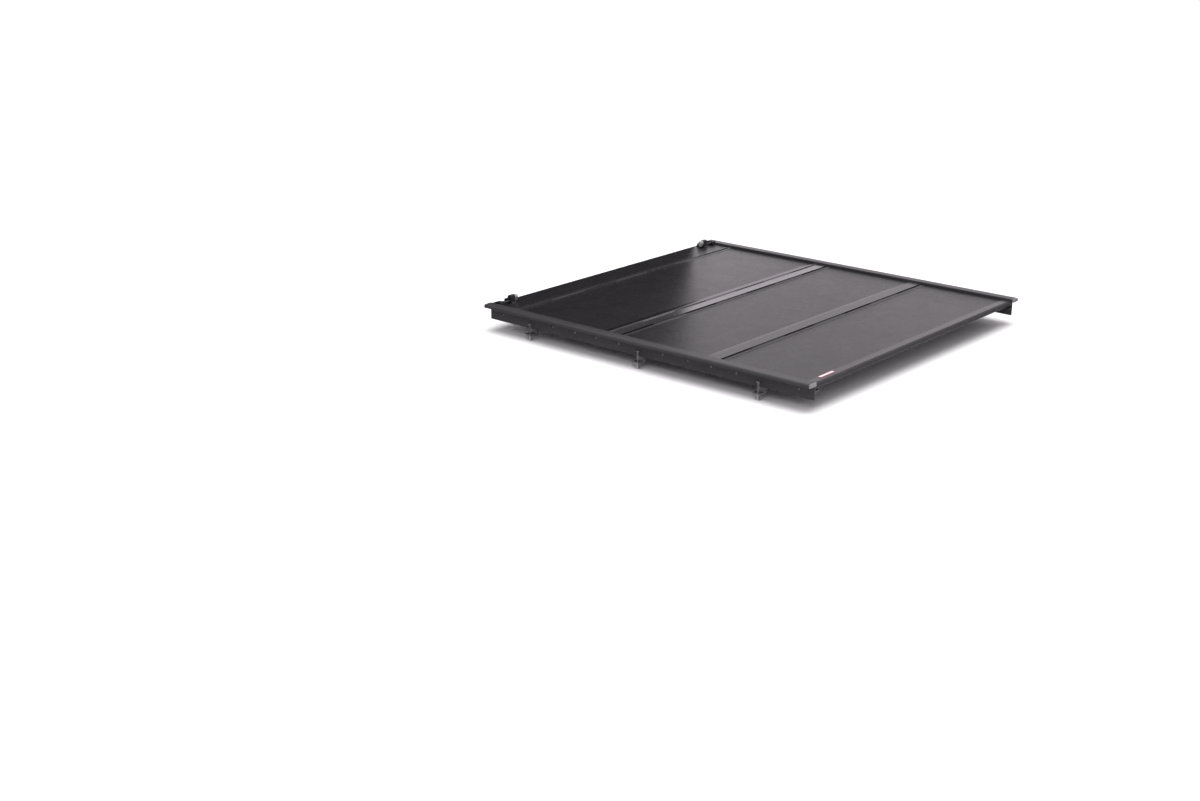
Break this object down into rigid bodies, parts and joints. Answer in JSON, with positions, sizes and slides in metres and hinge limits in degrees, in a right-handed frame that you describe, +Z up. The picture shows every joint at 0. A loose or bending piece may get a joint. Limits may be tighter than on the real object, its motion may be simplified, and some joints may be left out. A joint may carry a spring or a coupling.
{
  "type": "tonneau cover",
  "caption": "Hard folding tonneau cover for a pickup bed: stiff panels hinged between two side rails, with a spine, latches, prop rods and clamps.",
  "frame": {"origin": "middle of the bed opening, level with the tops of the bed sides, which is where the rails rest (mount bed_rails)", "axes": "+X to the passenger side, +Y towards the cab, along the rails, +Z up"},
  "size_m": [1.692, 1.76, 0.148],
  "materials": {
    "panel_skin": "fine-textured satin charcoal skin",
    "bar_alloy": "charcoal anodised extrusion",
    "rail_alloy": "satin charcoal powder coat",
    "rubber": "matte black",
    "steel": "zinc plated",
    "cast_alloy": "as cast, tumbled",
    "black_plastic": "fine moulded texture",
    "grey_plastic": "satin light grey",
    "badge": "blank gloss red with a pale bar"
  },
  "bodies": {
    "frame": {"bulkhead_seal": "rubber", "front_fold_pin": "steel", "header_hinge_bar": "bar_alloy", "header_plate": "panel_skin", "left_clamp_bolt_front": "steel", "left_clamp_bolt_middle": "steel", "left_clamp_bolt_rear": "steel", "left_clamp_front": "cast_alloy", "left_clamp_middle": "cast_alloy", "left_clamp_rear": "cast_alloy", "left_end_cap": "grey_plastic", "left_ledge": "rail_alloy", "left_lock_body": "black_plastic", "left_lock_keeper": "black_plastic", "left_prop_rest": "cast_alloy", "left_rail": "rail_alloy", "left_seal": "rubber", "right_clamp_bolt_front": "steel", "right_clamp_bolt_middle": "steel", "right_clamp_bolt_rear": "steel", "right_clamp_front": "cast_alloy", "right_clamp_middle": "cast_alloy", "right_clamp_rear": "cast_alloy", "right_end_cap": "grey_plastic", "right_ledge": "rail_alloy", "right_lock_body": "black_plastic", "right_lock_keeper": "black_plastic", "right_prop_rest": "cast_alloy", "right_rail": "rail_alloy", "right_seal": "rubber"},
    "front_panel": {"front_panel_board": "panel_skin", "front_panel_front_bar": "bar_alloy", "front_panel_rear_bar": "bar_alloy", "left_prop_bracket": "steel", "right_prop_bracket": "steel", "spine_front_pin": "steel"},
    "spine": {"spine": "bar_alloy", "spine_rear_pin": "steel"},
    "middle_panel": {"left_turn_base": "cast_alloy", "middle_panel_board": "panel_skin", "middle_panel_front_bar": "bar_alloy", "middle_panel_rear_bar": "bar_alloy", "rear_fold_pin": "steel", "right_turn_base": "cast_alloy"},
    "rear_panel": {"badge": "badge", "left_slam_body": "black_plastic", "rear_panel_board": "panel_skin", "rear_panel_front_bar": "bar_alloy", "rear_panel_rear_bar": "bar_alloy", "release_cable": "black_plastic", "right_slam_body": "black_plastic", "tailgate_seal": "rubber"},
    "left_lock_plunger": {"left_lock_plunger": "grey_plastic"},
    "left_prop_rod": {"left_prop_rod": "steel"},
    "left_slam_bolt": {"left_slam_bolt": "steel"},
    "left_turn_lever": {"left_turn_lever": "steel"},
    "right_lock_plunger": {"right_lock_plunger": "grey_plastic"},
    "right_prop_rod": {"right_prop_rod": "steel"},
    "right_slam_bolt": {"right_slam_bolt": "steel"},
    "right_turn_lever": {"right_turn_lever": "steel"}
  },
  "joints": [
    {"name": "front_fold", "type": "hinge", "parent": "frame", "child": "front_panel", "pos_m": [0, 0.725, 0.007], "axis": [-1, 0, 0], "range_deg": [0, 90]},
    {"name": "spine_front_fold", "type": "hinge", "parent": "front_panel", "child": "spine", "pos_m": [0, 0.1895, 0.007], "axis": [-1, 0, 0], "range_deg": [0, 90]},
    {"name": "spine_rear_fold", "type": "hinge", "parent": "spine", "child": "middle_panel", "pos_m": [0, 0.125, 0.007], "axis": [-1, 0, 0], "range_deg": [0, 90]},
    {"name": "rear_fold", "type": "hinge", "parent": "middle_panel", "child": "rear_panel", "pos_m": [0, -0.404, 0.007], "axis": [-1, 0, 0], "range_deg": [0, 180]},
    {"name": "left_prop_swing", "type": "hinge", "parent": "front_panel", "child": "left_prop_rod", "pos_m": [-0.756, 0.575, -0.032], "axis": [1, 0, 0], "range_deg": [0, 120.4]},
    {"name": "left_turn", "type": "hinge", "parent": "middle_panel", "child": "left_turn_lever", "pos_m": [-0.726, -0.15, -0.0302], "axis": [0, 0, -1], "range_deg": [0, 90]},
    {"name": "left_slam_slide", "type": "slide", "parent": "rear_panel", "child": "left_slam_bolt", "axis": [-1, 0, 0], "range_m": [0, 0.02]},
    {"name": "left_lock_pull", "type": "slide", "parent": "frame", "child": "left_lock_plunger", "axis": [1, 0, 0], "range_m": [0, 0.016], "stiffness_N_per_m": 300, "springref_m": -0.012},
    {"name": "right_prop_swing", "type": "hinge", "parent": "front_panel", "child": "right_prop_rod", "pos_m": [0.756, 0.575, -0.032], "axis": [1, 0, 0], "range_deg": [0, 120.4]},
    {"name": "right_turn", "type": "hinge", "parent": "middle_panel", "child": "right_turn_lever", "pos_m": [0.726, -0.15, -0.0302], "axis": [0, 0, 1], "range_deg": [0, 90]},
    {"name": "right_slam_slide", "type": "slide", "parent": "rear_panel", "child": "right_slam_bolt", "axis": [1, 0, 0], "range_m": [0, 0.02]},
    {"name": "right_lock_pull", "type": "slide", "parent": "frame", "child": "right_lock_plunger", "axis": [-1, 0, 0], "range_m": [0, 0.016], "stiffness_N_per_m": 300, "springref_m": -0.012}
  ],
  "couplings": [
    {"joint": "right_slam_slide", "follows": "left_slam_slide", "ratio": 1}
  ]
}
